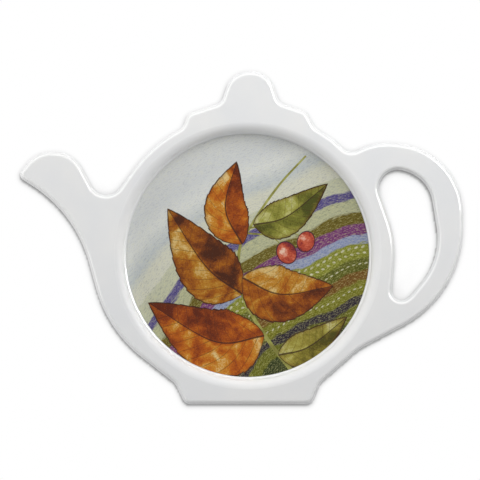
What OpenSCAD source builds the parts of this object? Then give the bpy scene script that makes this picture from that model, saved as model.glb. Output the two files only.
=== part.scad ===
// Teapot-shaped tea bag tidy: one melamine pressing with a round well, a printed
// foil moulded into the floor of the well and a clear glaze over the foil.
// The outline is drawn round the centre of the well, with the spout to -X, the
// handle to +X, the lid to +Y and the foot of the pot to -Y. The printed face looks
// to +Z. The finished part is then moved so that the origin lies under the middle
// of its outline.

/* [Shell] */
// Height of the rim's top above the table
tray_h = 10; // [9.6:0.1:13]
// Thickness of the rim and of the well's wall
rim_t = 2.6; // [2:0.1:3]
// Height of the turned-down edge, from the rim's top
lip_h = 4.2; // [3.6:0.1:4.6]
// Thickness of the turned-down edge
lip_t = 2.6; // [2.3:0.1:2.8]
// Radius of the rim's upper edges
top_r = 0.9; // [0.6:0.1:1.2]
// Radius of the turned-down edge's lower corners
under_r = 0.8; // [0.4:0.1:1]
// Slope of the edge's side, in degrees from upright
draft = 16; // [8:0.5:18]
// Distance from the well's mouth to the belly line, which the outline is drawn round
rim_w = 2.1; // [1.6:0.1:4]

/* [Well] */
// Diameter of the printed floor
well_d = 87.7; // [80:0.1:92]
// Depth of the well, from the rim's top to the glaze
well_depth = 6; // [5.4:0.1:6.3]
// Radius of the rolled edge from the rim into the well
roll_r = 3.6; // [3.1:0.1:4.2]
// Slope of the well's wall, in degrees from upright
wall_slope = 4; // [2:0.5:8]
// Radius of the hollow between the wall and the printed floor
hollow_r = 0.8; // [0.5:0.1:1.1]
// Thickness of the well's floor
floor_t = 2.4; // [1.8:0.1:2.7]

/* [Foot ring] */
// Outer diameter of the ring that the tray stands on
ring_d = 78; // [60:1:84]
// Width of the ring
ring_w = 2.4; // [1.6:0.1:4]
// Radius of the ring's lower corners
ring_r = 0.5; // [0.2:0.1:0.7]

/* [Print] */
// Thickness of the printed foil
foil_t = 0.2; // [0.1:0.05:0.3]
// Thickness of the clear glaze over the foil
glaze_t = 0.4; // [0.2:0.05:0.5]
// Gap round the foil and the glaze
print_gap = 0.05; // [0.02:0.01:0.1]

/* [Spout] */
// Reach of the spout's nose past the belly
spout_l = 32.6; // [28:0.2:40]
// Height of the mouth above the well's centre
spout_h = 37.5; // [35:0.5:41]
// Radius of the mouth's corners
spout_r = 12; // [10:0.5:13]

/* [Lid and knob] */
// Half the width of the lid
lid_l = 21.5; // [20:0.5:23]
// Rise of the lid above the belly
lid_h = 4.7; // [4:0.1:6]
// Radius of the lid's corners
lid_r = 4; // [3:0.5:5]
// Distance of the knob's middle from the well's centre
knob_x = 0.9; // [-1:0.1:1]
// Half the width of the knob at its root
knob_l = 10.5; // [9:0.5:12]
// Rise of the knob above the lid
knob_h = 11.3; // [9:0.1:14]
// Radius of the knob's crown
knob_r = 9; // [7:0.5:10]

/* [Handle] */
// Reach of the handle past the belly
handle_l = 27.3; // [25:0.1:32]
// Height of the handle's upper corner above the well's centre
handle_h = 41.6; // [40:0.2:44]
// Depth of the handle's lower corner below the well's centre
handle_low = 14; // [12:0.5:15]
// Radius of the handle's outer bend
handle_r = 26; // [22:1:28]
// Width of the handle's bow
handle_w = 9.8; // [9:0.1:11]
// Width of the rim between the belly and the handle's hole
root_w = 3.1; // [3:0.1:4.5]

/* [Pot's foot] */
// Half the width of the foot
foot_l = 23; // [21:0.5:26]
// Drop of the foot below the belly
foot_h = 3.2; // [2.5:0.1:6]
// Radius of the foot's corners
foot_r = 3; // [2:0.5:4]

/* [Detail] */
// Largest distance between a curve of the outline and its facets
sag = 0.05; // [0.02:0.01:0.08]
// Facets round the rim's upper edge
edge_steps = 4; // [3:1:6]

/* [Hidden] */
$fn = 96;

// Least radius left where an inward offset passes a sharp corner's centre
tip_r = 0.1 * top_r;
under_steps = 2;

// Overlap of the tray's solids where they are joined
lap = rim_t / 4;

// Heights
glaze_z = tray_h - well_depth;
foil_z = glaze_z - glaze_t;
floor_z = foil_z - foil_t;
under_z = floor_z - floor_t;

// Section of the well's wall
well_r = well_d / 2;
wall_n = [cos(wall_slope), -sin(wall_slope)];
straight_h = well_depth - (roll_r + hollow_r) * (1 - sin(wall_slope));
rim_r = well_r + straight_h * tan(wall_slope) + (roll_r + hollow_r) * cos(wall_slope);
roll_c = [rim_r, tray_h - roll_r];
belly = rim_r + rim_w;

// Corners of the outline, clockwise from the spout's nose, each [x, y, bend radius]
outline_corners = [
    [-belly - 1.005 * spout_l, 0.765 * spout_h, 0.2 * spout_r],
    [-belly - 0.79 * spout_l, spout_h, spout_r],
    [-belly - 0.38 * spout_l, spout_h, spout_r],
    [-belly - 0.04 * spout_l, 0.44 * spout_h, 0.5 * spout_r],
    [-0.7 * belly, 0.785 * belly, 1.05 * belly],
    [-1.09 * lid_l, belly - 0.9 * lid_h, lid_r],
    [-1.01 * lid_l, belly + 0.15 * lid_h, lid_r],
    [knob_x - knob_l, belly + lid_h, lid_r],
    [knob_x - 0.63 * knob_l, belly + lid_h + knob_h, knob_r],
    [knob_x + 0.63 * knob_l, belly + lid_h + knob_h, knob_r],
    [knob_x + knob_l, belly + lid_h, lid_r],
    [0.98 * lid_l, belly + 0.32 * lid_h, lid_r],
    [1.13 * lid_l, belly - 0.9 * lid_h, lid_r],
    [0.615 * belly, 0.83 * belly, 0.12 * belly],
    [0.725 * belly, 0.725 * belly, 0.1 * belly],
    [belly - 0.14 * handle_l, handle_h, handle_r],
    [belly + handle_l, 0.885 * handle_h, handle_r],
    [belly + handle_l, -handle_low, 1.55 * handle_r],
    [0.8 * belly, -0.67 * belly, 0.5 * belly],
    [0.52 * belly, -0.915 * belly, 0.12 * belly],
    [foot_l, -belly - foot_h, foot_r],
    [-0.98 * foot_l, -belly - foot_h, foot_r],
    [-0.52 * belly, -0.915 * belly, 0.12 * belly],
    [-belly, -0.54 * belly, 0.95 * belly],
    [-belly - 0.36 * spout_l, 0.4 * spout_h, 4 * spout_r],
];

// Corners of the handle's hole, anticlockwise from its upper left
hole_corners = [
    [0.856 * belly, handle_h - 0.74 * handle_w, 0.27 * handle_r],
    [belly + root_w, 0.116 * belly, 0.72 * belly],
    [1.017 * belly, -1.415 * handle_low, 0.13 * handle_r],
    [belly + 0.304 * handle_l, -1.024 * handle_low, 0.267 * handle_r],
    [belly + handle_l - 0.81 * handle_w, -0.02 * handle_h, 0.97 * handle_r],
    [belly + 0.538 * handle_l, handle_h - 1.4 * handle_w, 0.53 * handle_r],
];

// Plane geometry of a loop of corners joined by straight lines and tangent arcs
function unit(v) = v / norm(v);
function right_of(v) = [v.y, -v.x];
function place(corners, i) = let (c = corners[(i + len(corners)) % len(corners)]) [c.x, c.y];
function bend(corners, i) = corners[(i + len(corners)) % len(corners)].z;
function side(corners, i) = place(corners, i + 1) - place(corners, i);
function heading(corners, i) = unit(side(corners, i));
function turn(corners, i) = acos(heading(corners, i - 1) * heading(corners, i));
function reach(corners, i) = bend(corners, i) * tan(turn(corners, i) / 2);

// Share of its bend radius that a corner can have beside its neighbours. Arcs take
// at most this much of a side, so that a short straight always stays between them.
side_share = 0.95;
function room(corners, i) =
    min(
        1,
        side_share * norm(side(corners, i - 1)) / (reach(corners, i - 1) + reach(corners, i)),
        side_share * norm(side(corners, i)) / (reach(corners, i) + reach(corners, i + 1))
    );

// Points of corner i's arc on the loop that runs a distance d to the right of the outline
function arc_points(corners, i, d) =
    let (
        from = right_of(heading(corners, i - 1)),
        to = right_of(heading(corners, i)),
        outward = cross(from, to) < 0,
        angle = turn(corners, i),
        r = bend(corners, i) * room(corners, i),
        steps = ceil(angle / (2 * acos(1 - sag / r))),
        s = outward ? max(r - d, tip_r) : -r - d,
        centre = place(corners, i) + (from + to) / (1 + from * to) * (d + s),
        start = atan2(from.y, from.x),
        way = outward ? -angle : angle
    )
    [for (j = [0:steps]) let (a = start + way * j / steps) centre - s * [cos(a), sin(a)]];

function loop_points(corners, d) =
    [for (i = [0:len(corners) - 1]) for (p = arc_points(corners, i, d)) p];

outline = loop_points(outline_corners, 0);
outline_x = [for (p = outline) p.x];
outline_y = [for (p = outline) p.y];
middle = [max(outline_x) + min(outline_x), max(outline_y) + min(outline_y)] / 2;

// Section of the turned-down edge as [distance inwards from the side, height], from
// the rim's top round the outside to its underside
lip_z = tray_h - lip_h;
edge_in = under_r + (top_r - under_r + (lip_h - top_r - under_r) * sin(draft)) / cos(draft);
function arc(centre, r, from, to, steps) =
    [for (j = [0:steps]) let (a = from + (to - from) * j / steps) centre + r * [cos(a), sin(a)]];
edge_section = concat(
    arc([edge_in, tray_h - top_r], top_r, 90, 180 - draft, edge_steps),
    arc([under_r, lip_z + under_r], under_r, 180 - draft, 270, under_steps),
    arc([lip_t - under_r, lip_z + under_r], under_r, 270, 360, under_steps),
    [[lip_t, tray_h - rim_t]]
);

// Triangles of a flat loop of [x, y, index] rows that runs anticlockwise
function area(a, b, c) = cross([b.x - a.x, b.y - a.y], [c.x - a.x, c.y - a.y]);
function holds(a, b, c, p) = area(a, b, p) > 0 && area(b, c, p) > 0 && area(c, a, p) > 0;
function is_ear(loop) =
    area(loop[0], loop[1], loop[2]) > 0
    && len([for (p = loop) if (holds(loop[0], loop[1], loop[2], p)) p]) == 0;
function roll(loop, n) = [for (i = [0:len(loop) - 1]) loop[(i + n) % len(loop)]];
function ear(loop) = [for (i = [0:2]) loop[i].z];
function without_ear(loop) = [for (i = [0:len(loop) - 1]) if (i != 1) loop[i]];
function triangles(loop, done = []) =
    len(loop) == 3 ? concat(done, [ear(loop)])
    : is_ear(loop) ? triangles(roll(without_ear(loop), 1), concat(done, [ear(loop)]))
    : triangles(roll(loop, 1), done);

// One loop out of an outer loop and a hole in it, joined at the corners that lie nearest
function gap(a, b) = norm([a.x - b.x, a.y - b.y]);
function nearest(loop, p) =
    let (gaps = [for (q = loop) gap(p, q)])
    [for (i = [0:len(gaps) - 1]) if (gaps[i] == min(gaps)) i][0];
function bridge(outer, hole) =
    let (
        far = max([for (p = hole) p.x]),
        h = [for (i = [0:len(hole) - 1]) if (hole[i].x == far) i][0],
        turned = roll(hole, h),
        o = nearest(outer, turned[0]),
        start = roll(outer, o)
    )
    concat(start, [start[0]], turned, [turned[0]]);

// Flat rim and its turned-down edge, with the handle's hole, in one closed skin
module rim() {
    outer = [for (q = edge_section) loop_points(outline_corners, q.x)];
    inner = [for (q = edge_section) loop_points(hole_corners, q.x)];
    rows = len(edge_section);
    n_outer = len(outer[0]);
    n_inner = len(inner[0]);
    points = [for (i = [0:rows - 1]) for (p = concat(outer[i], inner[i])) [p.x, p.y, edge_section[i].y]];
    row = n_outer + n_inner;
    function strip(i, first, n) = [
        for (j = [0:n - 1])
            let (
                a = i * row + first + j,
                b = i * row + first + (j + 1) % n
            )
            each [[a, a + row, b + row], [a, b + row, b]]
    ];
    function cap(i) =
        let (
            out = [for (j = [n_outer - 1:-1:0]) [points[i * row + j].x, points[i * row + j].y, i * row + j]],
            hole = [
                for (j = [n_inner - 1:-1:0])
                    let (k = i * row + n_outer + j)
                    [points[k].x, points[k].y, k]
            ]
        )
        triangles(bridge(out, hole));
    polyhedron(
        points = points,
        faces = concat(
            [for (i = [0:rows - 2]) each concat(strip(i, 0, n_outer), strip(i, n_outer, n_inner))],
            [for (t = cap(0)) [t[2], t[1], t[0]]],
            cap(rows - 1)
        ),
        convexity = 8
    );
}

// Rolled edge in section: the part of a round rod's wall between the rim and the well's wall
module roll_section() {
    wide = 2 * roll_r;
    intersection() {
        translate(roll_c)
            difference() {
                circle(roll_r);
                circle(roll_r - rim_t);
            }
        polygon([roll_c, roll_c + [0, wide], roll_c + [-wide, wide], roll_c - wide * wall_n]);
    }
    // Tongue that joins the roll to the flat rim
    translate([rim_r - lap / 2, tray_h - 0.75 * rim_t]) square([1.5 * lap, rim_t / 2]);
}

// Wall and floor in section, with a hollow inside and a rounded heel outside
module bowl_section() {
    hollow = [well_r, glaze_z + hollow_r];
    foot = hollow + hollow_r * wall_n;
    heel_z = under_z + rim_t;
    heel = [foot.x - (foot.y - heel_z) * tan(wall_slope), heel_z];
    polygon([
        roll_c - roll_r * wall_n, foot, foot + rim_t * wall_n, roll_c - (roll_r - rim_t) * wall_n,
        roll_c - (roll_r - rim_t / 2) * wall_n + [0, lap]
    ]);
    difference() {
        polygon([
            [0, under_z], [heel.x, under_z], heel + rim_t * wall_n, foot + rim_t * wall_n,
            foot, hollow, [well_r, floor_z], [0, floor_z]
        ]);
        translate(hollow) circle(hollow_r);
    }
    intersection() {
        translate(heel) circle(rim_t);
        translate([heel.x, under_z]) square([rim_t, rim_t * (1 - sin(wall_slope))]);
    }
}

// Foot ring in section, from the table up into the floor
module ring_section() {
    left = ring_d / 2 - ring_w;
    translate([left, ring_r]) square([ring_w, under_z + floor_t / 2 - ring_r]);
    translate([left + ring_r, 0]) square([ring_w - 2 * ring_r, ring_r]);
    translate([left + ring_r, ring_r]) circle(ring_r);
    translate([left + ring_w - ring_r, ring_r]) circle(ring_r);
}

module tray_shell() {
    color("whitesmoke")
        translate(-middle) {
            difference() {
                rim();
                translate([0, 0, -tray_h]) cylinder(h = 3 * tray_h, r = rim_r);
            }
            rotate_extrude() {
                roll_section();
                bowl_section();
                ring_section();
            }
        }
}

module print_foil() {
    color("darkolivegreen")
        translate([-middle.x, -middle.y, floor_z]) cylinder(h = foil_t, r = well_r - print_gap);
}

module clear_glaze() {
    color("gainsboro", 0.4)
        translate([-middle.x, -middle.y, foil_z]) cylinder(h = glaze_t, r = well_r - print_gap);
}

tray_shell();
print_foil();
clear_glaze();
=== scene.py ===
import math
from functools import partial
import bpy
import numpy as np
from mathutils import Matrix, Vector
from mathutils.geometry import delaunay_2d_cdt


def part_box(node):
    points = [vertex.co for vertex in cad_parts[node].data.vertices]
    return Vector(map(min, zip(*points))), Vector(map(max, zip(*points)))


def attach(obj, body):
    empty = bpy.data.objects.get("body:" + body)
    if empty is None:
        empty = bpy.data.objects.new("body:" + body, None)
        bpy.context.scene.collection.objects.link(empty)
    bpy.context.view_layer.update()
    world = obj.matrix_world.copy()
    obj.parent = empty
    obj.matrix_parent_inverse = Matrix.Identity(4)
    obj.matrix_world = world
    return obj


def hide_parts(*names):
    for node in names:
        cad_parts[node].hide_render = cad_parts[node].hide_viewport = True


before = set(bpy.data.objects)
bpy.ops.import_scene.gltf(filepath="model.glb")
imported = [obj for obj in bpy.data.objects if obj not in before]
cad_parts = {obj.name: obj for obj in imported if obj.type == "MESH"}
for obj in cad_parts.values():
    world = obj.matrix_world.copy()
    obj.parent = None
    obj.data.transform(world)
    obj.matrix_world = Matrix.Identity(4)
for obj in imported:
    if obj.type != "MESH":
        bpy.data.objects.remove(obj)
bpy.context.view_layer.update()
print("stage: frame loaded")

# Everything below is worked out in mm round the well's centre and made in metres
mm = 0.001
foilLow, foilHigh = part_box("print_foil")
wellCentre = np.array([foilLow[0] + foilHigh[0], foilLow[1] + foilHigh[1]]) / 2


# Colour and shader nodes
def linear(hexColour):
    # sRGB hex to linear light: c/12.92 below 0.04045, else ((c + 0.055)/1.055)^2.4
    parts = [int(hexColour[i:i + 2], 16) / 255 for i in (0, 2, 4)]
    return [c / 12.92 if c <= 0.04045 else ((c + 0.055) / 1.055) ** 2.4 for c in parts] + [1.0]


def addNode(tree, kind, inputs=(), output=0, stops=(), **settings):
    # Adds one shader node and gives back one of its outputs. Each input is a value, or a socket to link.
    # Each stop of a ramp is a place with a hex colour or a grey level.
    node = tree.nodes.new("ShaderNode" + kind)
    for name, value in settings.items():
        setattr(node, name, value)
    for name, source in inputs.items() if isinstance(inputs, dict) else enumerate(inputs):
        if isinstance(source, bpy.types.NodeSocket):
            tree.links.new(source, node.inputs[name])
        else:
            node.inputs[name].default_value = source
    if stops:
        elements = node.color_ramp.elements
        elements.remove(elements[1])
        elements[0].position = stops[0][0]
        for place, tone in stops[1:]:
            elements.new(place)
        for element, (place, tone) in zip(elements, stops):
            element.color = linear(tone) if isinstance(tone, str) else (tone, tone, tone, 1)
    return node.outputs[output] if node.outputs else node


def newMaterial(name):
    # An empty material, and the function above tied to its nodes
    mat = bpy.data.materials.new(name)
    mat.use_nodes = True
    mat.node_tree.nodes.clear()
    return mat, partial(addNode, mat.node_tree)


# Meshes
def newMesh(name, places, triangles, material, attributes):
    # An object from whole arrays, with one value for each vertex in each of its attributes
    mesh = bpy.data.meshes.new(name)
    mesh.vertices.add(len(places))
    mesh.vertices.foreach_set("co", places.ravel())
    mesh.loops.add(triangles.size)
    mesh.loops.foreach_set("vertex_index", triangles.ravel())
    mesh.polygons.add(len(triangles))
    mesh.polygons.foreach_set("loop_start", np.arange(0, triangles.size, 3))
    mesh.update(calc_edges=True)
    for key, values in attributes.items():
        layer = mesh.attributes.new(key, "FLOAT", "POINT")
        layer.data.foreach_set("value", np.asarray(values, float).ravel())
    mesh.materials.append(material)
    thing = bpy.data.objects.new(name, mesh)
    bpy.context.scene.collection.objects.link(thing)
    return thing


def meshPiece(name, surface, material, replaced=(), attributes=None):
    # Vertices in mm round the well's centre. A triangle against its vertex normals is turned round.
    points, normals, triangles = map(np.asarray, surface)
    a, b, c = (points[triangles[:, i]] for i in range(3))
    away = (np.cross(b - a, c - a) * normals[triangles].sum(1)).sum(1) < 0
    triangles = np.where(away[:, None], triangles[:, ::-1], triangles)
    places = points * mm
    places[:, :2] += wellCentre
    piece = newMesh(name, places, triangles, material, attributes or {})
    piece.data.shade_smooth()
    piece.data.normals_split_custom_set_from_vertices(normals.tolist())
    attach(piece, "root")
    if replaced:
        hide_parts(*replaced)
    print("piece:", name, len(triangles), "triangles")


def gridTriangles(rows, columns, first=0, closed=True):
    # Two triangles for each cell of a rows x columns grid of vertices. If it is closed, its last column joins
    # its first.
    i = np.arange(rows - 1)[:, None]
    j = np.arange(columns if closed else columns - 1)[None, :]
    a = first + i * columns + j
    b = first + i * columns + (j + 1) % columns
    cells = np.stack([a, a + columns, b + columns, a, b + columns, b], -1)
    return cells.reshape(-1, 3)


def arcRows(centre, radius, start, end, steps, hollow=False):
    # Points centre + radius (cos a, sin a) for a from start to end, with normals away from the centre, or
    # towards it if hollow
    a = np.radians(np.linspace(start, end, steps + 1))
    ray = np.stack([np.cos(a), np.sin(a)], 1)
    return np.array(centre) + radius * ray, -ray if hollow else ray


def joined(*parts):
    # Stretches of a section, one after the other: their rows and their normals
    return np.concatenate([p[0] for p in parts]), np.concatenate([p[1] for p in parts])


def point(place, normal):
    # A stretch of one row
    return np.array([place], float), np.array([normal], float)


def spun(values, columns):
    # Rows [r, z] as rings (r cos t, r sin t, z)
    t = np.linspace(0, 2 * np.pi, columns, endpoint=False)
    flat = values[:, None, :1] * np.stack([np.cos(t), np.sin(t)], 1)[None]
    return np.concatenate([flat, np.repeat(values[:, None, 1:], columns, 1)], 2).reshape(-1, 3)


def revolve(profile, columns, first=0):
    # Surface (r cos t, r sin t, z) for each profile row [r, z] and angle t. A first or last row with r = 0 is
    # one pole.
    rows, rowNormals = profile
    rings = rows[:, 0] > 0
    points, normals = spun(rows[rings], columns), spun(rowNormals[rings], columns)
    triangles = [gridTriangles(rings.sum(), columns, first)]
    for end, start in ((0, first), (-1, first + (rings.sum() - 1) * columns)):
        if not rings[end]:
            edge = start + np.arange(columns)
            triangles.append(np.stack([edge, np.roll(edge, -1), np.full(columns, first + len(points))], 1))
            points = np.concatenate([points, [[0, 0, rows[end, 1]]]])
            normals = np.concatenate([normals, [[0, 0, rowNormals[end, 1]]]])
    return points, normals, np.concatenate(triangles)


# The tray: one pressing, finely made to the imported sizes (mm)
tray = {
    "height": 10.0, "rimThick": 2.6, "lipHeight": 4.2, "lipThick": 2.6, "topRadius": 0.9,
    "underRadius": 0.8, "innerRadius": 0.6, "draft": 16.0, "rimWidth": 2.1,
    "wellRadius": 43.85, "wellDepth": 6.0, "rollRadius": 3.6, "wallSlope": 4.0, "hollowRadius": 0.8,
    "floorThick": 2.4, "foilThick": 0.2, "glazeThick": 0.4, "seatRound": 0.05,
    "ringRadius": 39.0, "ringWidth": 2.4, "ringRound": 0.5, "heelFillet": 0.3,
    "skin": 0.05,         # the whole outline drawn in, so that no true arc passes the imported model's box
    "tip": 0.09,          # least radius of an outward corner once it is drawn in
    "sideShare": 0.95,    # share of a side that the arcs at its two ends may take
    "rollFade": 0.4,      # width over which the roll's finish turns into the next one
    "rollFrom": 0.6, "hollowTo": 0.9,     # where they turn, as shares of the hollow's radius
    "arcSteps": 22, "roundSteps": 12, "circleSteps": 480,
}
slope = math.radians(tray["wallSlope"])
bothRadii = tray["rollRadius"] + tray["hollowRadius"]
straightHeight = tray["wellDepth"] - bothRadii * (1 - math.sin(slope))
rimRadius = tray["wellRadius"] + straightHeight * math.tan(slope) + bothRadii * math.cos(slope)
belly = rimRadius + tray["rimWidth"]
glazeZ = tray["height"] - tray["wellDepth"]
foilZ = glazeZ - tray["glazeThick"]
floorZ = foilZ - tray["foilThick"]
underZ = floorZ - tray["floorThick"]

spout = {"length": 32.6, "height": 37.5, "radius": 12}
lid = {"half": 21.5, "rise": 4.7, "radius": 4}
knob = {"x": 0.9, "half": 10.5, "rise": 11.3, "radius": 9}
handle = {"length": 27.3, "height": 41.6, "low": 14, "radius": 26, "width": 9.8, "root": 3.1}
potFoot = {"half": 23, "drop": 3.2, "radius": 3}


def outlineCorners():
    # Clockwise from the spout's nose, each [x, y, bend radius], as shares of the sizes of its own part
    lidTop = belly + lid["rise"]
    knobTop = lidTop + knob["rise"]
    handleX, footY = belly + handle["length"], -belly - potFoot["drop"]
    return np.array([
        [-belly - 1.005 * spout["length"], 0.765 * spout["height"], 0.2 * spout["radius"]],
        [-belly - 0.79 * spout["length"], spout["height"], spout["radius"]],
        [-belly - 0.38 * spout["length"], spout["height"], spout["radius"]],
        [-belly - 0.04 * spout["length"], 0.44 * spout["height"], 0.5 * spout["radius"]],
        [-0.7 * belly, 0.785 * belly, 1.05 * belly],
        [-1.09 * lid["half"], belly - 0.9 * lid["rise"], lid["radius"]],
        [-1.01 * lid["half"], belly + 0.15 * lid["rise"], lid["radius"]],
        [knob["x"] - knob["half"], lidTop, lid["radius"]],
        [knob["x"] - 0.63 * knob["half"], knobTop, knob["radius"]],
        [knob["x"] + 0.63 * knob["half"], knobTop, knob["radius"]],
        [knob["x"] + knob["half"], lidTop, lid["radius"]],
        [0.98 * lid["half"], belly + 0.32 * lid["rise"], lid["radius"]],
        [1.13 * lid["half"], belly - 0.9 * lid["rise"], lid["radius"]],
        [0.615 * belly, 0.83 * belly, 0.12 * belly],
        [0.725 * belly, 0.725 * belly, 0.1 * belly],
        [belly - 0.14 * handle["length"], handle["height"], handle["radius"]],
        [handleX, 0.885 * handle["height"], handle["radius"]],
        [handleX, -handle["low"], 1.55 * handle["radius"]],
        [0.8 * belly, -0.67 * belly, 0.5 * belly],
        [0.52 * belly, -0.915 * belly, 0.12 * belly],
        [potFoot["half"], footY, potFoot["radius"]],
        [-0.98 * potFoot["half"], footY, potFoot["radius"]],
        [-0.52 * belly, -0.915 * belly, 0.12 * belly],
        [-belly, -0.54 * belly, 0.95 * belly],
        [-belly - 0.36 * spout["length"], 0.4 * spout["height"], 4 * spout["radius"]],
    ])


def holeCorners():
    # Anticlockwise from the upper left of the handle's hole
    bowX = belly + handle["length"]
    return np.array([
        [0.856 * belly, handle["height"] - 0.74 * handle["width"], 0.27 * handle["radius"]],
        [belly + handle["root"], 0.116 * belly, 0.72 * belly],
        [1.017 * belly, -1.415 * handle["low"], 0.13 * handle["radius"]],
        [belly + 0.304 * handle["length"], -1.024 * handle["low"], 0.267 * handle["radius"]],
        [bowX - 0.81 * handle["width"], -0.02 * handle["height"], 0.97 * handle["radius"]],
        [belly + 0.538 * handle["length"], handle["height"] - 1.4 * handle["width"], 0.53 * handle["radius"]],
    ])


def loopAt(corners, insets):
    # Corners joined by straights and tangent arcs, moved insets to the right of the way round. An arc keeps
    # its angles, and its radius becomes bend - inset at an outward corner and bend + inset at an inward one.
    # insets is an array (rows, 1, 1).
    place, bend = corners[:, :2], corners[:, 2]
    side = np.roll(place, -1, 0) - place
    length = np.linalg.norm(side, axis=1)
    ahead = side / length[:, None]
    back = np.roll(ahead, 1, 0)
    turn = np.arccos((back * ahead).sum(1))
    reach = bend * np.tan(turn / 2)
    share = tray["sideShare"]
    room = np.minimum(share * np.roll(length, 1) / (np.roll(reach, 1) + reach),
                      share * length / (reach + np.roll(reach, -1)))
    radius = (bend * np.minimum(room, 1))[:, None]
    start = np.stack([back[:, 1], -back[:, 0]], 1)
    end = np.stack([ahead[:, 1], -ahead[:, 0]], 1)
    outward = (start[:, 0] * end[:, 1] - start[:, 1] * end[:, 0]) < 0
    signed = np.where(outward[:, None], np.maximum(radius - insets, tray["tip"]), -radius - insets)
    lean = ((start + end) / (1 + (start * end).sum(1))[:, None])[:, None]
    centre = place[:, None] + lean * (insets + signed)[..., None]
    angle = np.arctan2(start[:, 1], start[:, 0])[:, None]
    angle = angle + np.where(outward, -turn, turn)[:, None] * np.linspace(0, 1, tray["arcSteps"] + 1)
    inward = np.stack([np.cos(angle), np.sin(angle)], -1)
    return centre - signed[..., None] * inward, inward


def sweptEdge(corners, section):
    # The edge's section [inset, z] carried round the loop
    rows, rowNormals = section
    flat, inward = loopAt(corners, rows[:, 0][:, None, None] + tray["skin"])
    count = inward.shape[0] * inward.shape[1]
    flat = np.broadcast_to(flat, (len(rows),) + inward.shape).reshape(len(rows), count, 2)
    inward = inward.reshape(count, 2)
    heights = np.broadcast_to(rows[:, 1][:, None, None], (len(rows), count, 1))
    points = np.concatenate([flat, heights], 2).reshape(-1, 3)
    sideways = rowNormals[:, 0][:, None, None] * inward[None]
    upright = np.broadcast_to(rowNormals[:, 1][:, None, None], (len(rows), count, 1))
    normals = np.concatenate([sideways, upright], 2).reshape(-1, 3)
    return points, normals, count


def edgeSection():
    # Rows [inset, z] from the rim's flat top, over its rounding, down the slanted side, round the lip and up
    # to the rim's underside
    lean = math.radians(tray["draft"])
    topR, underR, innerR = tray["topRadius"], tray["underRadius"], tray["innerRadius"]
    high, lipZ, fillet = tray["height"], tray["height"] - tray["lipHeight"], tray["heelFillet"]
    edgeIn = underR + (topR - underR + (tray["lipHeight"] - topR - underR) * math.sin(lean)) / math.cos(lean)
    steps = tray["roundSteps"]
    return joined(
        arcRows([edgeIn, high - topR], topR, 90, 180 - tray["draft"], steps),
        arcRows([underR, lipZ + underR], underR, 180 - tray["draft"], 270, steps),
        arcRows([tray["lipThick"] - innerR, lipZ + innerR], innerR, 270, 360, steps),
        arcRows([tray["lipThick"] + fillet, high - tray["rimThick"] - fillet], fillet, 180, 90, steps // 2,
                True),
    )


def wellProfile():
    # Rows [r, z] of the rolled edge, the steep wall, the hollow at its base, the step down to the foil's seat
    # and the floor under the foil
    rollCentre = [rimRadius, tray["height"] - tray["rollRadius"]]
    wellR, seat, hollowR = tray["wellRadius"], tray["seatRound"], tray["hollowRadius"]
    steps = tray["roundSteps"]
    return joined(
        arcRows(rollCentre, tray["rollRadius"], 90, 180 - tray["wallSlope"], 2 * steps),
        arcRows([wellR, glazeZ + hollowR], hollowR, -tray["wallSlope"], -90, steps, True),
        point([wellR, glazeZ - seat], [-1, 0]), point([wellR, floorZ + seat], [-1, 0]),
        point([wellR - seat, floorZ], [0, 1]), point([0, floorZ], [0, 1]),
    )


def underProfile():
    # Rows [r, z] of the underside of the roll and wall, the rounded heel, the foot ring and the floor in it
    rollCentre = [rimRadius, tray["height"] - tray["rollRadius"]]
    thick, steps, hollowR = tray["rimThick"], tray["roundSteps"], tray["hollowRadius"]
    out, ringR, fillet = tray["ringRadius"], tray["ringRound"], tray["heelFillet"]
    inside = out - tray["ringWidth"]
    # From the wall's foot down to the heel's centre
    drop = glazeZ + hollowR * (1 - math.sin(slope)) - underZ - thick
    heelX = tray["wellRadius"] + hollowR * math.cos(slope) - drop * math.tan(slope)
    return joined(
        arcRows(rollCentre, tray["rollRadius"] - thick, 90, 180 - tray["wallSlope"], steps, True),
        arcRows([heelX, underZ + thick], thick, -tray["wallSlope"], -90, steps),
        arcRows([out + fillet, underZ - fillet], fillet, 90, 180, steps // 2, True),
        arcRows([out - ringR, ringR], ringR, 0, -90, steps // 2),
        arcRows([inside + ringR, ringR], ringR, 270, 180, steps // 2),
        arcRows([inside - fillet, underZ - fillet], fillet, 0, 90, steps // 2, True),
        point([0, underZ], [0, -1]),
    )


def insideLoop(loop, places):
    # Even-odd rule: a place is inside if a ray to +X crosses the loop an odd number of times
    a, b = loop, np.roll(loop, -1, 0)
    above = (a[None, :, 1] > places[:, None, 1]) != (b[None, :, 1] > places[:, None, 1])
    rise = np.where(a[:, 1] == b[:, 1], 1, b[:, 1] - a[:, 1])
    crossing = a[:, 0] + (places[:, None, 1] - a[:, 1]) * (b[:, 0] - a[:, 0]) / rise
    return (above & (crossing > places[:, None, 0])).sum(1) % 2 == 1


def flatCap(points, outer, holes):
    # Triangles that fill the flat face between one outer loop and its holes, each given as vertex numbers
    loops = [outer] + holes
    numbers = np.concatenate(loops)
    starts = np.cumsum([0] + [len(x) for x in loops])
    edges = [(int(s + i), int(s + (i + 1) % len(x))) for s, x in zip(starts, loops) for i in range(len(x))]
    places = list(map(Vector, points[numbers, :2].tolist()))
    made = delaunay_2d_cdt(places, edges, [], 0, 1e-7)
    source = np.array([origin[0] for origin in made[3]])
    corners = numbers[source[np.array(made[2])]]
    middles = points[corners][..., :2].mean(1)
    keep = insideLoop(points[outer, :2], middles)
    for hole in holes:
        keep &= ~insideLoop(points[hole, :2], middles)
    return corners[keep]


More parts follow.
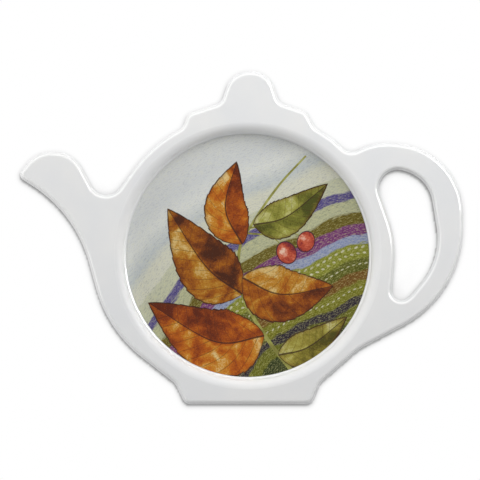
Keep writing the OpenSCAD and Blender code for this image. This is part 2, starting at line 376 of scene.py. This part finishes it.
def makeTray(material):
    section = edgeSection()
    outerPoints, outerNormals, outerCount = sweptEdge(outlineCorners(), section)
    holePoints, holeNormals, holeCount = sweptEdge(holeCorners(), section)
    rows = len(section[0])
    holeFirst = len(outerPoints)
    wellFirst = holeFirst + len(holePoints)
    columns = tray["circleSteps"]
    wellPoints, wellNormals, wellTriangles = revolve(wellProfile(), columns, wellFirst)
    underFirst = wellFirst + len(wellPoints)
    underPoints, underNormals, underTriangles = revolve(underProfile(), columns, underFirst)
    points = np.concatenate([outerPoints, holePoints, wellPoints, underPoints])
    normals = np.concatenate([outerNormals, holeNormals, wellNormals, underNormals])
    circle, outerLoop, holeLoop = np.arange(columns), np.arange(outerCount), np.arange(holeCount)
    lastOuter, lastHole = (rows - 1) * outerCount, holeFirst + (rows - 1) * holeCount
    triangles = np.concatenate([
        gridTriangles(rows, outerCount), gridTriangles(rows, holeCount, holeFirst),
        wellTriangles, underTriangles,
        flatCap(points, outerLoop, [holeFirst + holeLoop, wellFirst + circle]),
        flatCap(points, lastOuter + outerLoop, [lastHole + holeLoop, underFirst + circle]),
    ])
    # From 0 to 1, how far a point belongs to the roll into the well, and to the hollow at the wall's foot
    reach = np.linalg.norm(points[:, :2], axis=1)
    wellR, hollowR, fade = tray["wellRadius"], tray["hollowRadius"], tray["rollFade"]
    rolled = np.clip((reach - wellR - tray["rollFrom"] * hollowR) / fade, 0, 1)
    rolled *= np.clip((rimRadius - reach) / fade, 0, 1)
    hollow = np.clip((wellR + tray["hollowTo"] * hollowR - reach) / fade, 0, 1)
    hollow *= reach > wellR - hollowR / 2
    # 1 on the rounding between the flat face and the turned-down edge, where the colour carries a painted
    # highlight
    rounding = np.sin(np.pi * np.clip(np.arange(rows) / tray["roundSteps"], 0, 1))
    rim = np.concatenate([np.repeat(rounding, outerCount), np.repeat(rounding, holeCount),
                          np.zeros(len(wellPoints) + len(underPoints))])
    meshPiece("trayBody", (points, normals, triangles), material, ("tray_shell",),
              {"rolled": rolled, "hollow": hollow, "rim": rim})


melamine = {
    # patterns, each scale as 1 / the size of one patch
    "body": {"Scale": 1 / (16.67 * mm), "Detail": 2},
    "wear": {"Scale": 1 / (4.545 * mm), "Detail": 4, "Roughness": 0.6},
    "ripple": {"Scale": 1 / (13.33 * mm), "Detail": 1}, "bump": {"Strength": 0.12, "Distance": 0.4 * mm},
    # edge is a paler white painted on the rounding as a painted highlight, mixed in at the share after it
    "white": [(0.3, "EDEEEF"), (0.7, "F2F2F1")], "edge": "FBFBFA", "edgeHighlightShare": 0.8,
    "smooth": 0.11, "wearRough": 0.1, "rollRough": 0.3,
    "specular": 0.5, "rollSpecular": -0.42, "coat": 0.8,
    "shine": {"IOR": 1.58, "Coat IOR": 1.6, "Coat Roughness": 0.06},
}


def melamineMaterial():
    # White melamine moulding powder pressed in a polished steel mould: a cool, even white body with a hard
    # gloss, the mould's faint unevenness in the reflections and fine wear that dulls the gloss in places. The
    # rounding is painted a little whiter, as a painted highlight along the edge. The roll is satin, and the
    # hollow is wet with glaze.
    mat, add = newMaterial("pressedWhiteMelamine")
    place = add("TexCoord", output="Object")
    body, wear, ripple = (add("TexNoise", {"Vector": place, **melamine[name]})
                          for name in ("body", "wear", "ripple"))
    rim, rolled, hollow = (add("Attribute", output="Fac", attribute_name=name)
                           for name in ("rim", "rolled", "hollow"))
    colour = add("ValToRGB", (body,), stops=melamine["white"])
    # Painted highlight: the rounding's colour is mixed towards a paler white
    rounded = add("Math", (rim, melamine["edgeHighlightShare"]), operation="MULTIPLY")
    colour = add("Mix", {0: rounded, 6: colour, 7: linear(melamine["edge"])}, 2, data_type="RGBA")
    worn = add("Math", (wear, melamine["wearRough"], melamine["smooth"]), operation="MULTIPLY_ADD")
    rough = add("Math", (rolled, melamine["rollRough"], worn), operation="MULTIPLY_ADD")
    specular = add("Math", (rolled, melamine["rollSpecular"], melamine["specular"]), operation="MULTIPLY_ADD")
    coat = add("Math", (hollow, melamine["coat"]), operation="MULTIPLY")
    normal = add("Bump", {"Height": ripple, **melamine["bump"]})
    shader = add("BsdfPrincipled", {
        "Base Color": colour, "Specular IOR Level": specular, "Roughness": rough, "Coat Weight": coat,
        "Normal": normal, **melamine["shine"]})
    add("OutputMaterial", (shader,))
    return mat


# The print: a foil with a woven ground, inked motifs on it as thin sheets, and the glaze over them
printArt = {
    "radius": 43.8, "rings": 56, "spokes": 300, "foilRound": 0.05,
    "layer": 0.004,       # height of one layer of ink above the last
    "bump": {"Strength": 0.15, "Distance": 0.1 * mm},
    "ink": {"Roughness": 0.8, "Specular IOR Level": 0.0},
}


def inkedPaper(add, colour, grain):
    # Ends a print material: dull ink on foil paper, whose grain shows as a slight bump
    normal = add("Bump", {"Height": grain, **printArt["bump"]})
    shader = add("BsdfPrincipled", {"Base Color": colour, "Normal": normal, **printArt["ink"]})
    add("OutputMaterial", (shader,))


def clipped(flat):
    # A place outside the print's circle is drawn in to the circle
    distance = np.linalg.norm(flat, axis=-1, keepdims=True)
    return flat * np.minimum(1, printArt["radius"] / np.maximum(distance, 1e-9))


def sheet(name, flats, triangles, layer, material, attributes=None):
    # A flat printed shape that lies on the foil
    flat = clipped(np.asarray(flats))
    points = np.column_stack([flat, np.full(len(flat), foilZ + printArt["layer"] * layer)])
    normals = np.tile([0.0, 0.0, 1.0], (len(flat), 1))
    meshPiece(name, (points, normals, triangles), material, (), attributes)


def curvePoints(path, count):
    # Catmull-Rom curve through the points of a path: places, unit normals and length so far
    path = np.array(path, float)
    padded = np.concatenate([[2 * path[0] - path[1]], path, [2 * path[-1] - path[-2]]])
    t = np.linspace(0, len(path) - 1 - 1e-9, count)
    i = t.astype(int)
    f = (t - i)[:, None]
    p0, p1, p2, p3 = (padded[i + k] for k in range(4))
    places = 0.5 * (2 * p1 + (p2 - p0) * f + (2 * p0 - 5 * p1 + 4 * p2 - p3) * f ** 2
                    + (3 * p1 - p0 - 3 * p2 + p3) * f ** 3)
    tangent = np.gradient(places, axis=0)
    tangent /= np.linalg.norm(tangent, axis=1, keepdims=True)
    steps = np.linalg.norm(np.diff(places, axis=0), axis=1)
    return places, np.stack([-tangent[:, 1], tangent[:, 0]], 1), np.concatenate([[0], np.cumsum(steps)])


weave = {
    # The stripes bend round a far centre, at middle mm from it, and are span mm wide on both sides of that
    "centre": (60.0, -95.0), "middle": 112.4, "span": 46.0,
    "waves": [(1.1, 11, 0), (0.5, 4.3, 1)],     # height, length and start of each wave in a stripe
    "stripes": [
        # where it starts across the stripes, colour, strength of the weave
        (-46.0, "2E3A12", 1.0), (-37.0, "6E7014", 1.0), (-33.0, "2C2236", 1.0), (-30.0, "7E7E1A", 1.0),
        (-25.0, "7A5216", 1.0), (-21.5, "5E6212", 1.0), (-17.0, "8C902C", 1.0), (-11.5, "98A2C4", 0.9),
        (-8.5, "7E3A7A", 1.0), (-4.5, "6E6016", 1.0), (-0.5, "BDBF9C", 0.8), (4.5, "5E5492", 1.0),
        (7.5, "CBCDB4", 0.8), (13.0, "DCDCCC", 0.6), (18.0, "C9CFD0", 0.5), (24.0, "E4E6E2", 0.45),
        (30.0, "DADDDD", 0.35), (36.0, "E2E4E2", 0.35),
    ],
    "edge": 0.5,          # width over which one stripe turns into the next
    "washed": 0.5,        # stripes of this strength or less run into each other
    "stretch": 0.22,      # how much the fibres are drawn out along a stripe
    # patterns in the yarn, each scale as 1 / the size of one patch in mm
    "wander": {"Scale": 1 / 1.25, "Detail": 4}, "wanderReach": 3.0,
    "grain": {"Scale": 1 / 0.6667, "Detail": 3, "Roughness": 0.7}, "grainShare": 1.3,
    "streak": {"Scale": 1 / 0.3846, "Detail": 3, "Roughness": 0.6}, "streakShare": 2.1,
    "fleck": {"Scale": 1 / 0.3125, "Detail": 2, "Roughness": 0.7}, "fleckShare": 1.1,
    "knitLong": 1.428, "knitWide": 1.122, "knitShare": 0.10,    # length and width of one knot in mm
    "light": "DCD690", "dark": "1A1610",
}


def weaveWave(run):
    # Sum of height x sin(run / length + start) over the waves
    return sum(height * np.sin(run / length + start) for height, length, start in weave["waves"])


def makeGround(material):
    # The section [r, z] of the foil turned round the well's axis, with rings close enough to carry the weave
    radius, soft = printArt["radius"], printArt["foilRound"]
    r = np.linspace(radius - soft, 0, printArt["rings"])
    top = np.stack([r, np.full_like(r, foilZ)], 1)
    profile = joined(
        point([0, floorZ], [0, -1]), point([radius - soft, floorZ], [0, -1]),
        point([radius, floorZ + soft], [1, 0]), point([radius, foilZ - soft], [1, 0]),
        (top, np.tile([0.0, 1.0], (len(r), 1))),
    )
    surface = revolve(profile, printArt["spokes"])
    # Along and across the stripes: a place's angle and distance from the stripes' far centre, both in mm
    arm = surface[0][:, :2] - np.array(weave["centre"])
    run = np.arctan2(arm[:, 1], arm[:, 0]) * weave["middle"]
    across = np.linalg.norm(arm, axis=1) - weave["middle"] + weaveWave(run)
    facts = {"run": run, "across": across}
    meshPiece("printGround", surface, material, ("print_foil",), facts)


def groundMaterial():
    # A tweed landscape as it prints: bands of dyed yarn with paler and darker fibres, washed out to the sky
    mat, add = newMaterial("printedTweedFoil")
    run, across = (add("Attribute", output="Fac", attribute_name=name) for name in ("run", "across"))
    yarn = add("CombineXYZ", (run, across))
    fibre = add("CombineXYZ", (add("Math", (run, weave["stretch"]), operation="MULTIPLY"), across))
    grain, streak, fleck, wander = (
        add("TexNoise", {"Vector": vector, **weave[name]})
        for vector, name in ((yarn, "grain"), (fibre, "streak"), (yarn, "fleck"), (fibre, "wander")))
    span, stripes = weave["span"], weave["stripes"]
    wander = add("Math", (wander, 0.5), operation="SUBTRACT")
    shifted = add("Math", (wander, weave["wanderReach"], across), operation="MULTIPLY_ADD")
    share = add("Math", (shifted, 0.5 / span, 0.5), operation="MULTIPLY_ADD")
    ends = [stripe[0] - weave["edge"] for stripe in stripes[1:]] + [span]
    stops = []
    for (start, colour, strong), end in zip(stripes, ends):
        places = ((start + end) / 2,) if strong <= weave["washed"] else (start, end)
        stops += [((place + span) / (2 * span), colour) for place in places]
    colour = add("ValToRGB", (share,), stops=stops)
    stops = [((start + span) / (2 * span), strong) for start, dye, strong in stripes]
    strength = add("ValToRGB", (share,), stops=stops)
    waves = []
    for way, size in ((run, weave["knitLong"]), (across, weave["knitWide"])):
        turns = add("Math", (way, 2 * math.pi / size), operation="MULTIPLY")
        waves.append(add("Math", (turns,), operation="SINE"))
    tone = add("Math", (add("Math", waves, operation="MULTIPLY"), weave["knitShare"]), operation="MULTIPLY")
    for source, part in ((grain, "grainShare"), (streak, "streakShare"), (fleck, "fleckShare")):
        middled = add("Math", (source, 0.5), operation="SUBTRACT")
        tone = add("Math", (middled, weave[part], tone), operation="MULTIPLY_ADD")
    for name, sign in (("light", 1.0), ("dark", -1.0)):
        signed = add("Math", (tone, sign), operation="MULTIPLY")
        signed = add("Math", (signed, strength), operation="MULTIPLY", use_clamp=True)
        colour = add("Mix", {0: signed, 6: colour, 7: linear(weave[name])}, 2, data_type="RGBA")
    inkedPaper(add, colour, grain)
    return mat


def plainPrint(name, facts):
    # One printed colour in two or three close tones
    mat, add = newMaterial(name)
    mottle = add("TexNoise", {"Vector": add("TexCoord", output="Object"), **facts["mottle"]})
    inkedPaper(add, add("ValToRGB", (mottle,), stops=facts["tones"]), mottle)
    return mat


stitchRows = [
    # distance across the stripes in mm, step, length, width, lean
    (-13.2, 2.5, 1.5, 0.75, 0.35), (-15.4, 2.3, 1.3, 0.7, -0.35), (-19.2, 2.2, 1.3, 0.5, 0.2),
    (-27.6, 2.2, 1.2, 0.5, 0.3),
]
stitch = {
    # corners of a stitch, stitches on each side of the middle, bare border of the print in mm, layer of ink
    "sides": 12, "each": 60, "border": 1, "layer": 1,
    "tones": [(0.3, "A9A878"), (0.7, "DEDBBE")],
    "mottle": {"Scale": 1 / (1.111 * mm), "Detail": 3, "Roughness": 0.6},
}


def makeStitches(material):
    # Short slanted stitches: ellipses along the stripes, one each step, as fans round their middles
    sides, farCentre = stitch["sides"], np.array(weave["centre"])
    t = np.linspace(0, 2 * np.pi, sides, endpoint=False)
    j = np.arange(sides)[None, :]
    places, faces, first = [], [], 0
    middle = np.arctan2(-farCentre[1], -farCentre[0])
    for across, step, long, wide, lean in stitchRows:
        radius = weave["middle"] + across
        angles = middle + np.arange(-stitch["each"], stitch["each"] + 1) * step / radius
        wave = weaveWave(angles * weave["middle"])
        spot = farCentre + (radius - wave)[:, None] * np.stack([np.cos(angles), np.sin(angles)], 1)
        spot = spot[np.linalg.norm(spot, axis=1) < printArt["radius"] - stitch["border"]]
        heading = np.arctan2(spot[:, 1] - farCentre[1], spot[:, 0] - farCentre[0]) - np.pi / 2 + lean
        along = np.stack([np.cos(heading), np.sin(heading)], 1)[:, None] * long / 2
        aside = np.stack([-np.sin(heading), np.cos(heading)], 1)[:, None] * wide / 2
        ring = spot[:, None] + along * np.cos(t)[:, None] + aside * np.sin(t)[:, None]
        index = first + np.arange(len(spot))[:, None] * (sides + 1)
        faces.append(np.stack([index + 0 * j, index + 1 + j, index + 1 + (j + 1) % sides], -1).reshape(-1, 3))
        places.append(np.concatenate([spot[:, None], ring], 1).reshape(-1, 2))
        first += len(spot) * (sides + 1)
    sheet("printStitches", np.concatenate(places), np.concatenate(faces), stitch["layer"], material)


stems = [
    {"path": [(17, -43), (7, -30), (-2, -14), (-3, 2), (2, 12), (11, 25), (21, 36)], "width": 1.5},
    {"path": [(0, 8), (8, 7), (13, 3)], "width": 0.7},
    {"path": [(1, 10), (10, 11), (19, 7)], "width": 0.7},
]
stemPrint = {
    "along": 120, "across": 5,      # rows and columns of its grid
    "taper": 0.55, "layer": 2,
    "tones": [(0.3, "7D7A35"), (0.6, "A9A858"), (0.8, "C6C583")],
    "mottle": {"Scale": 1 / (3.846 * mm), "Detail": 3, "Roughness": 0.6},
}


def makeStems(material):
    # Each stem is a ribbon C(v) + N(v) u w(v): C its curve, N across it, u from -1/2 to 1/2, and w a width
    # that narrows to the tip
    rows, columns = stemPrint["along"], stemPrint["across"]
    u = np.linspace(-0.5, 0.5, columns)
    triangles = gridTriangles(rows, columns, 0, False)
    for number, stem in enumerate(stems, 1):
        centre, normal, length = curvePoints(stem["path"], rows)
        width = stem["width"] * (1 - stemPrint["taper"] * length / length[-1])
        flat = centre[:, None] + normal[:, None] * (width[:, None] * u)[..., None]
        sheet("printStem%d" % number, flat.reshape(-1, 2), triangles, stemPrint["layer"], material)


leaves = [
    # path from base to tip, half width and vein spacing in mm, teeth, tint (rust 0, orange 0.5, green 1),
    # layer
    ([(6, -29), (-12, -31), (-36, -17)], 12.5, 4.4, 14.4, 0.45, 3),
    ([(-2, -14), (-15, -4), (-29, 17)], 11.0, 4.2, 12.8, 0.05, 4),
    ([(-2, -8), (12, -14), (31, -11)], 10.5, 4.0, 12.8, 0.15, 4),
    ([(-2, 4), (-8, 17), (-4, 34)], 8.0, 3.4, 11.2, 0.4, 5),
    ([(2, 11), (14, 14), (29, 26)], 7.0, 3.2, 11.2, 0.95, 5),
    ([(11, -36), (22, -33), (36, -22)], 6.5, 3.2, 9.6, 0.9, 3),
]
leafPrint = {
    "along": 140, "across": 25,     # rows and columns of its grid
    "toothDepth": 0.05, "veinSlant": 0.85,
    "seam": 0.02,         # half width of the strip along the rib that belongs to neither side
    "lift": 0.1,          # layers between one leaf and the next
    # patterns, each scale as 1 / the size of one patch
    "wash": {"Scale": 1 / (8.333 * mm), "Detail": 4, "Roughness": 0.55, "Distortion": 0.6},
    "blot": {"Scale": 1 / (2.381 * mm), "Detail": 3, "Roughness": 0.6},
    "pigment": {"Scale": 1 / (0.5263 * mm), "Detail": 2, "Roughness": 0.6},
    # what these, the side of the rib and the way to the tip add to the tone
    "base": -0.75, "washShare": 1.7, "blotShare": 0.35, "pigmentShare": 0.45,
    "sideShare": 0.15, "tipShare": -0.12,
    "rust": [(0.12, "4A2208"), (0.32, "7E400C"), (0.5, "A8620E"), (0.68, "BE8A2A"), (0.88, "DCC07C")],
    "orange": [(0.1, "6A2606"), (0.3, "9C440A"), (0.5, "C2620C"), (0.7, "D2902A"), (0.9, "E8CE90")],
    "green": [(0.15, "4A5416"), (0.4, "7C8630"), (0.65, "A6AC52"), (0.88, "CDCE94")],
    "pool": "6A3010", "poolWidth": 1.6, "poolShare": 0.45,
    "vein": "4A2612", "veinShare": 0.55, "veinWidth": -0.015, "veinShake": 0.09,
    "pen": "3A2216", "penShare": 0.85, "penWidth": 0.05, "penShake": 0.8, "ribWidth": 0.34, "ribTaper": -0.22,
}


def makeLeaves(material):
    # Each leaf is C(v) + N(v) u w(v): C a curve from stalk to tip, N across it, u from -1 to 1, and
    # w = half width x sin(pi v^0.8)^0.9, with teeth that grow out from |u|^6
    rows, columns = leafPrint["along"], leafPrint["across"]
    v = np.linspace(0, 1, rows)[:, None]
    u = np.linspace(-1, 1, columns)[None, :]
    swell = np.clip(np.sin(np.pi * v ** 0.8) ** 0.9, 0, None)
    side = np.sign(u) * (np.abs(u) > leafPrint["seam"])
    triangles = gridTriangles(rows, columns, 0, False)
    for number, (path, half, spacing, teeth, tint, layer) in enumerate(leaves):
        centre, normal, length = curvePoints(path, rows)
        saw = np.mod(v * teeth, 1) - 0.5
        width = half * swell * (1 + leafPrint["toothDepth"] * saw * np.abs(u) ** 6)
        flat = centre[:, None] + normal[:, None] * (u * width)[..., None]
        offset = np.abs(u) * width
        facts = {
            "rib": offset, "edge": width - offset, "tint": np.full((rows, columns), tint),
            "vein": (length[:, None] - leafPrint["veinSlant"] * offset) / spacing,
            "along": np.broadcast_to(v, (rows, columns)), "side": np.broadcast_to(side, (rows, columns)),
        }
        height = layer + leafPrint["lift"] * number
        sheet("printLeaf%d" % (number + 1), flat.reshape(-1, 2), triangles, height, material, facts)


def leafMaterial():
    # Leaves as a watercolour print: washes that pool darker at the edges, and fine brown pen lines for rim
    # and veins. The pigment is drawn coarser than real grains, so that it shows.
    mat, add = newMaterial("printedLeafWash")
    facts, place = leafPrint, add("TexCoord", output="Object")
    names = ("rib", "edge", "vein", "tint", "along", "side")
    rib, edge, vein, tint, along, side = (
        add("Attribute", output="Fac", attribute_name=name) for name in names)
    wash, blot, pigment = (add("TexNoise", {"Vector": place, **facts[name]})
                           for name in ("wash", "blot", "pigment"))
    level = facts["base"]
    for source, share in ((side, "sideShare"), (wash, "washShare"), (blot, "blotShare"),
                          (pigment, "pigmentShare"), (along, "tipShare")):
        level = add("Math", (source, facts[share], level), operation="MULTIPLY_ADD")
    rust, orange, green = (add("ValToRGB", (level,), stops=facts[name])
                           for name in ("rust", "orange", "green"))
    warm = add("Math", (tint, 2.0), operation="MULTIPLY", use_clamp=True)
    fresh = add("Math", (tint, 2.0, -1.0), operation="MULTIPLY_ADD", use_clamp=True)
    colour = add("Mix", {0: warm, 6: rust, 7: orange}, 2, data_type="RGBA")
    colour = add("Mix", {0: fresh, 6: colour, 7: green}, 2, data_type="RGBA")
    pool = add("Math", (edge, -1 / facts["poolWidth"], 1.0), operation="MULTIPLY_ADD", use_clamp=True)
    offMiddle = add("Math", (add("Math", (vein,), operation="FRACT"), 0.5), operation="SUBTRACT")
    offMiddle = add("Math", (offMiddle,), operation="ABSOLUTE")
    veinWidth = add("Math", (blot, facts["veinShake"], facts["veinWidth"]), operation="MULTIPLY_ADD")
    veinLine = add("Math", (offMiddle, veinWidth), operation="LESS_THAN")
    penWidth = add("Math", (blot, facts["penShake"], facts["penWidth"]), operation="MULTIPLY_ADD")
    ribWidth = add("Math", (along, facts["ribTaper"], facts["ribWidth"]), operation="MULTIPLY_ADD")
    rim = add("Math", (edge, penWidth), operation="LESS_THAN")
    midRib = add("Math", (rib, ribWidth), operation="LESS_THAN")
    pen = add("Math", (rim, midRib), operation="MAXIMUM")
    for mask, name in ((pool, "pool"), (veinLine, "vein"), (pen, "pen")):
        share = add("Math", (mask, facts[name + "Share"]), operation="MULTIPLY")
        colour = add("Mix", {0: share, 6: colour, 7: linear(facts[name])}, 2, data_type="RGBA")
    inkedPaper(add, colour, wash)
    return mat


hips = [
    # centre in mm, radius, lean
    ((14, 1), 3.6, 0.5), ((21, 5), 3.3, -0.3),
]
hipPrint = {
    "rings": 12, "spokes": 72, "layer": 6, "squash": 1.2, "shineAt": (-0.35, 0.4), "shineWidth": 0.5,
    "mottle": {"Scale": 1 / (2.381 * mm), "Detail": 3, "Roughness": 0.6},
    "pigment": {"Scale": 1 / (0.5263 * mm), "Detail": 2, "Roughness": 0.6},
    "base": -0.35, "shineShare": 0.38, "mottleShare": 1.3, "pigmentShare": 0.4,
    "wash": [(0.34, "7E2A30"), (0.52, "B4442F"), (0.72, "D2694A"), (0.98, "EFC8B0")],
    "pen": "2E2436", "penShare": 0.9, "penWidth": 0.32,
}


def makeHips(material):
    # Each hip is a squashed circle: centre + s (a cos t, b sin t) for s from 0 to 1, turned by its lean
    rings, spokes = hipPrint["rings"], hipPrint["spokes"]
    s = np.linspace(1e-3, 1, rings)[:, None]
    t = np.linspace(0, 2 * np.pi, spokes, endpoint=False)[None, :]
    shineX, shineY = hipPrint["shineAt"]
    triangles = gridTriangles(rings, spokes)
    for number, (centre, radius, lean) in enumerate(hips, 1):
        x, y = radius * s * np.cos(t), hipPrint["squash"] * radius * s * np.sin(t)
        flat = np.stack([centre[0] + x * math.cos(lean) - y * math.sin(lean),
                         centre[1] + x * math.sin(lean) + y * math.cos(lean)], -1)
        away = (x - shineX * radius) ** 2 + (y - shineY * radius) ** 2
        shine = np.exp(-away / (hipPrint["shineWidth"] * radius) ** 2)
        sheet("printHip%d" % number, flat.reshape(-1, 2), triangles, hipPrint["layer"], material,
              {"edge": radius * (1 - s) + 0 * t, "shine": shine})


def hipMaterial():
    # Rose hips in salmon and red wash with a pale shine and a dark pen line round them
    mat, add = newMaterial("printedHipWash")
    facts, place = hipPrint, add("TexCoord", output="Object")
    edge, shine = (add("Attribute", output="Fac", attribute_name=name) for name in ("edge", "shine"))
    mottle, pigment = (add("TexNoise", {"Vector": place, **facts[name]}) for name in ("mottle", "pigment"))
    level = facts["base"]
    for source, share in ((shine, "shineShare"), (mottle, "mottleShare"), (pigment, "pigmentShare")):
        level = add("Math", (source, facts[share], level), operation="MULTIPLY_ADD")
    colour = add("ValToRGB", (level,), stops=facts["wash"])
    rim = add("Math", (edge, facts["penWidth"]), operation="LESS_THAN")
    share = add("Math", (rim, facts["penShare"]), operation="MULTIPLY")
    colour = add("Mix", {0: share, 6: colour, 7: linear(facts["pen"])}, 2, data_type="RGBA")
    inkedPaper(add, colour, mottle)
    return mat


glaze = {
    "round": 0.08, "steps": 6, "lift": 0.06, "ior": 1.5, "rough": 0.08,
    "ripple": {"Scale": 1 / (11.11 * mm), "Detail": 1}, "bump": {"Strength": 0.1, "Distance": 0.3 * mm},
}


def makeGlaze(material):
    # The section [r, z] of a thin disc with a rounded upper edge turned round the well's axis
    radius, soft = printArt["radius"], glaze["round"]
    bottom = foilZ + glaze["lift"]
    profile = joined(
        point([0, bottom], [0, -1]), point([radius - soft, bottom], [0, -1]),
        point([radius, bottom + soft], [1, 0]),
        arcRows([radius - soft, glazeZ - soft], soft, 0, 90, glaze["steps"]),
        point([0, glazeZ], [0, 1]),
    )
    surface = revolve(profile, printArt["spokes"])
    meshPiece("glazeDisc", surface, material, ("clear_glaze",))


def glazeMaterial():
    # Clear melamine glaze, pressed over the foil: invisible itself, it only adds a hard reflection
    mat, add = newMaterial("clearMelamineGlaze")
    ripple = add("TexNoise", {"Vector": add("TexCoord", output="Object"), **glaze["ripple"]})
    normal = add("Bump", {"Height": ripple, **glaze["bump"]})
    mirror = add("Fresnel", {"IOR": glaze["ior"], "Normal": normal})
    outer = add("Math", (1.0, add("NewGeometry", output="Backfacing")), operation="SUBTRACT")
    mirror = add("Math", (mirror, outer), operation="MULTIPLY")     # no mirror on the inside
    clear = add("BsdfTransparent")
    gloss = add("BsdfGlossy", {"Roughness": glaze["rough"], "Normal": normal})
    add("OutputMaterial", (add("MixShader", (mirror, clear, gloss)),))
    return mat


makeTray(melamineMaterial())
print("stage: tray made")
makeGround(groundMaterial())
makeStitches(plainPrint("printedStitchInk", stitch))
makeStems(plainPrint("printedStemWash", stemPrint))
makeLeaves(leafMaterial())
makeHips(hipMaterial())
makeGlaze(glazeMaterial())
print("stage: print made")


# The table, the light and the camera
table = {
    "board": "F4F4F4", "reach": 3000, "patch": ((-88, 84), (-60, 73)), "patchStep": 0.6, "borderStep": 0.6,
    "shadowReach": 2.2, "shadowWay": (-0.18, -0.72), "nearest": 2, "parts": 60,
    # nearness to the tray, share of the table's white
    "shadow": [(0, 1), (0.25, 0.985), (0.42, 0.96), (0.6, 0.905), (0.72, 0.86), (0.86, 0.73), (1, 0.54),
               (1.25, 0.3)],
    # how far the rim reaches over the table; open room, share of the shadow's tone
    "lipReach": 20 * mm, "lipShade": [(0, 0.35), (0.5, 1)],
}


def borderPlaces(corners):
    # Evenly spaced places along a rounded outline
    loop = loopAt(corners, np.zeros((1, 1, 1)))[0].reshape(-1, 2)
    loop = np.concatenate([loop, loop[:1]])
    along = np.append(0, np.cumsum(np.linalg.norm(np.diff(loop, axis=0), axis=1)))
    steps = np.arange(0, along[-1], table["borderStep"])
    return np.stack([np.interp(steps, along, loop[:, 0]), np.interp(steps, along, loop[:, 1])], 1)


def trayNearness(places):
    # 1 - distance / reach: 1 below the tray's border, 0 from shadowReach away, and more than 1 under the
    # tray, where the distance is below zero. The border is moved a little the way that the shadow falls.
    borders = [borderPlaces(corners) + table["shadowWay"] for corners in (outlineCorners(), holeCorners())]
    # In parts, to keep the arrays small
    squared = np.full(len(places), np.inf)
    for part in np.array_split(np.concatenate(borders), table["parts"]):
        squared = np.minimum(squared, ((places[:, None] - part) ** 2).sum(-1).min(1))
    under = [insideLoop(borders[0], part) & ~insideLoop(borders[1], part)
             for part in np.array_split(places, table["parts"])]
    distance = np.sqrt(squared) * np.where(np.concatenate(under), -1, 1)
    return np.clip(1 - distance / table["shadowReach"], 0, table["nearest"])


def tableMaterial():
    # A pale board, painted matt. The camera sees it evenly white, as in the photo, but for the narrow soft
    # shadow close round the tray. The lamps see a plain board.
    mat, add = newMaterial("paleTable")
    near = add("Attribute", output="Fac", attribute_name="near")
    near = add("Math", (near, table["nearest"]), operation="DIVIDE")
    stops = [(place / table["nearest"], level) for place, level in table["shadow"]]
    shade = add("ValToRGB", (near,), stops=stops)
    # Under the lip it grows darker inwards, where less of the room is open
    room = add("AmbientOcclusion", {"Distance": table["lipReach"]}, "AO", samples=16)
    depth = add("ValToRGB", (room,), stops=table["lipShade"])
    shade = add("Mix", {0: 1.0, 6: shade, 7: depth}, 2, data_type="RGBA", blend_type="MULTIPLY")
    white = add("Emission", {"Color": shade})
    board = add("BsdfDiffuse", {"Color": linear(table["board"])})
    seen = add("LightPath", output="Is Camera Ray")
    add("OutputMaterial", (add("MixShader", (seen, board, white)),))
    return mat


def makeTable(material):
    # One flat grid, fine round the tray and one cell wide beyond, out to the table's end
    far, step = table["reach"], table["patchStep"]
    lines = [np.concatenate([[-far], np.arange(low, high, step), [far]]) for low, high in table["patch"]]
    x, y = np.meshgrid(*lines)
    places = np.stack([x.ravel(), y.ravel()], 1)
    triangles = gridTriangles(*x.shape, closed=False)[:, ::-1]
    flat = np.pad(places * mm + wellCentre, ((0, 0), (0, 1)))
    newMesh("tableTop", flat, triangles, material, {"near": trayNearness(places)})


studio = {
    "fill": 0.413, "target": (0, 0, 0.005),
    "lamps": [
        # name, place in metres, width and height, watts, True if it lights dull surfaces as well as gloss
        ("rightStrip", (0.42, 0.2, 0.22), (0.36, 0.09), 6.0, False),
        ("topSoftbox", (0.06, 0.22, 0.27), (0.35, 0.25), 0.52, True),
        ("backSoftbox", (-0.05, 0.75, 0.24), (1.3, 0.5), 1.05, True),
        ("rightSoftbox", (0.42, 0.2, 0.2), (0.36, 0.12), 0.45, True),
        ("leftSoftbox", (-0.46, 0.05, 0.14), (0.5, 0.22), 0.8, True),
    ],
    "lens": 600.0, "sensor": 36, "imageWidth": 172.85, "aim": (-0.61, -0.81), "clip": (0.01, 20),
}


def makeLamp(name, place, size, power, lights):
    lamp = bpy.data.lights.new(name, "AREA")
    lamp.shape = "RECTANGLE"
    lamp.size, lamp.size_y = size
    lamp.energy = power
    holder = bpy.data.objects.new(name, lamp)
    holder.location = place
    holder.rotation_euler = (Vector(studio["target"]) - holder.location).to_track_quat("-Z", "Y").to_euler()
    holder.visible_diffuse = lights
    bpy.context.scene.collection.objects.link(holder)


def makeWorld():
    world = bpy.data.worlds.new("studioWorld")
    world.use_nodes = True
    background = world.node_tree.nodes["Background"]
    background.inputs["Color"].default_value = (1, 1, 1, 1)
    background.inputs["Strength"].default_value = studio["fill"]
    bpy.context.scene.world = world


def makeCamera():
    # Straight above, far away on a long lens, so that the rim's top is imageWidth mm wide in the picture
    lens = bpy.data.cameras.new("photoCamera")
    lens.lens, lens.sensor_width = studio["lens"], studio["sensor"]
    lens.clip_start, lens.clip_end = studio["clip"]
    camera = bpy.data.objects.new("photoCamera", lens)
    distance = studio["imageWidth"] * lens.lens / lens.sensor_width
    camera.location = Vector((*studio["aim"], tray["height"] + distance)) * mm
    bpy.context.scene.collection.objects.link(camera)
    bpy.context.scene.camera = camera


makeTable(tableMaterial())
makeWorld()
for lamp in studio["lamps"]:
    makeLamp(*lamp)
makeCamera()
bpy.context.scene.view_settings.view_transform = "Standard"
print("stage: studio made")
